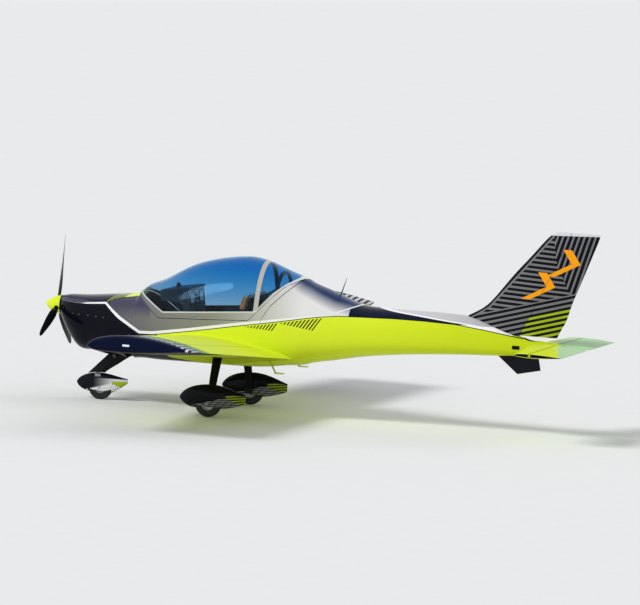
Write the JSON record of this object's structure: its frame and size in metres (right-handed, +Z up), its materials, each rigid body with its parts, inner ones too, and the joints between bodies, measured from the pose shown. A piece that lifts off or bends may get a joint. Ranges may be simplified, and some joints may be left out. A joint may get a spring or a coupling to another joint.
{
  "type": "ultralight aircraft",
  "caption": "Low-wing ultralight aircraft with side-by-side seats, a forward-tilting bubble canopy, a tractor propeller and fixed spatted tricycle gear with a castering nose wheel.",
  "frame": {"origin": "on the ground below the middle of the overall box, spinner tip to rudder and wing tip to wing tip", "axes": "+X aft towards the tail, +Y to starboard along the span, +Z up"},
  "size_m": [6.9286, 8.624, 2.542],
  "materials": {
    "navy_gelcoat": "gloss",
    "dark_gelcoat": "gloss",
    "cast_alloy": "cast",
    "steel_tube": "painted tube",
    "exhaust_steel": "heat stained",
    "silver_gelcoat": "metallic gloss",
    "lime_gelcoat": "gloss",
    "composite_panel": "matte",
    "seat_leather": "stitched leather",
    "interior_trim": "matte",
    "stick_steel": "painted",
    "pedal_alloy": "brushed",
    "tinted_glass": "blue tint",
    "latch_alloy": "satin",
    "wing_gelcoat": "gloss",
    "lamp_glass": "clear",
    "tail_gelcoat": "gloss",
    "fin_gelcoat": "metallic gloss",
    "axle_steel": "machined",
    "caliper_alloy": "anodised",
    "tyre_rubber": "rubber",
    "rim_alloy": "machined",
    "blade_composite": "satin",
    "spinner_lime": "gloss",
    "plate_alloy": "painted",
    "step_alloy": "painted",
    "antenna_rod": "matte"
  },
  "bodies": {
    "airframe": {"cowl_upper": "navy_gelcoat", "cowl_lower": "dark_gelcoat", "engine": "cast_alloy", "engine_mount": "steel_tube", "exhaust_stubs": "exhaust_steel", "cabin_shell": "silver_gelcoat", "tail_boom": "lime_gelcoat", "rear_bulkhead": "composite_panel", "baggage_shelf": "composite_panel", "cabin_floor": "composite_panel", "seat_base": "composite_panel", "seats": "seat_leather", "centre_console": "interior_trim", "instrument_panel": "interior_trim", "console_levers": "stick_steel", "control_sticks": "stick_steel", "rudder_pedals": "pedal_alloy", "roll_bar": "steel_tube", "wing_right": "wing_gelcoat", "wing_left": "wing_gelcoat", "nav_lights": "lamp_glass", "tailplane": "tail_gelcoat", "fin": "fin_gelcoat", "ventral_fin": "dark_gelcoat", "main_legs": "dark_gelcoat", "main_axles": "axle_steel", "brake_calipers": "caliper_alloy", "main_spat_right": "dark_gelcoat", "main_spat_left": "dark_gelcoat", "nose_leg": "dark_gelcoat", "boarding_steps": "step_alloy", "antenna": "antenna_rod"},
    "canopy": {"canopy_frame": "silver_gelcoat", "canopy_glass": "tinted_glass", "canopy_latches": "latch_alloy", "canopy_rear_glass": "tinted_glass"},
    "flap_right": {"flap_right": "wing_gelcoat"},
    "flap_left": {"flap_left": "wing_gelcoat"},
    "aileron_right": {"aileron_right": "wing_gelcoat"},
    "aileron_left": {"aileron_left": "wing_gelcoat"},
    "elevator": {"elevator": "tail_gelcoat"},
    "rudder": {"rudder": "fin_gelcoat"},
    "wheel_right": {"main_tyre_right": "tyre_rubber", "main_rim_right": "rim_alloy", "brake_disc_right": "axle_steel"},
    "wheel_left": {"main_tyre_left": "tyre_rubber", "main_rim_left": "rim_alloy", "brake_disc_left": "axle_steel"},
    "nose_caster": {"nose_fork": "axle_steel", "nose_spat": "dark_gelcoat"},
    "nose_wheel": {"nose_tyre": "tyre_rubber", "nose_rim": "rim_alloy"},
    "propeller": {"propeller": "blade_composite", "spinner": "spinner_lime", "spinner_backplate": "plate_alloy"}
  },
  "joints": [
    {"name": "propeller_spin", "type": "hinge", "parent": "airframe", "child": "propeller", "pos_m": [-3.30202, 0, 1.12], "axis": [1, 0, 0], "continuous": true},
    {"name": "nose_caster", "type": "hinge", "parent": "airframe", "child": "nose_caster", "pos_m": [-2.75402, 0, 0.15], "axis": [0, 0, 1], "range_deg": [-45, 45]},
    {"name": "nose_wheel_spin", "type": "hinge", "parent": "nose_caster", "child": "nose_wheel", "pos_m": [-2.70402, 0, 0.15], "axis": [0, 1, 0], "continuous": true},
    {"name": "wheel_right_spin", "type": "hinge", "parent": "airframe", "child": "wheel_right", "pos_m": [-1.06602, 0.995, 0.165], "axis": [0, 1, 0], "continuous": true},
    {"name": "wheel_left_spin", "type": "hinge", "parent": "airframe", "child": "wheel_left", "pos_m": [-1.06602, -0.995, 0.165], "axis": [0, 1, 0], "continuous": true},
    {"name": "canopy_hinge", "type": "hinge", "parent": "airframe", "child": "canopy", "pos_m": [-2.23297, 0, 1.38693], "axis": [0, -1, 0], "range_deg": [0, 50]},
    {"name": "flap_right_hinge", "type": "hinge", "parent": "airframe", "child": "flap_right", "pos_m": [-0.64834, 0.66, 0.79493], "axis": [-0.0248, 0.996, 0.086], "range_deg": [0, 38]},
    {"name": "flap_left_hinge", "type": "hinge", "parent": "airframe", "child": "flap_left", "pos_m": [-0.64834, -0.66, 0.79493], "axis": [0.0248, 0.996, -0.086], "range_deg": [0, 38]},
    {"name": "aileron_right_hinge", "type": "hinge", "parent": "airframe", "child": "aileron_right", "pos_m": [-0.69317, 2.46, 0.95043], "axis": [-0.0248, 0.996, 0.086], "range_deg": [-20, 20]},
    {"name": "aileron_left_hinge", "type": "hinge", "parent": "airframe", "child": "aileron_left", "pos_m": [-0.69317, -2.46, 0.95043], "axis": [0.0248, 0.996, -0.086], "range_deg": [-20, 20]},
    {"name": "elevator_hinge", "type": "hinge", "parent": "airframe", "child": "elevator", "pos_m": [3.01571, 0, 1.122], "axis": [0, 1, 0], "range_deg": [-25, 20]},
    {"name": "rudder_hinge", "type": "hinge", "parent": "airframe", "child": "rudder", "pos_m": [2.55376, 0, 1.23802], "axis": [0.4117, 0, 0.9113], "range_deg": [-25, 25]}
  ],
  "couplings": [
    {"joint": "flap_left_hinge", "follows": "flap_right_hinge", "ratio": 1},
    {"joint": "aileron_left_hinge", "follows": "aileron_right_hinge", "ratio": -1}
  ]
}
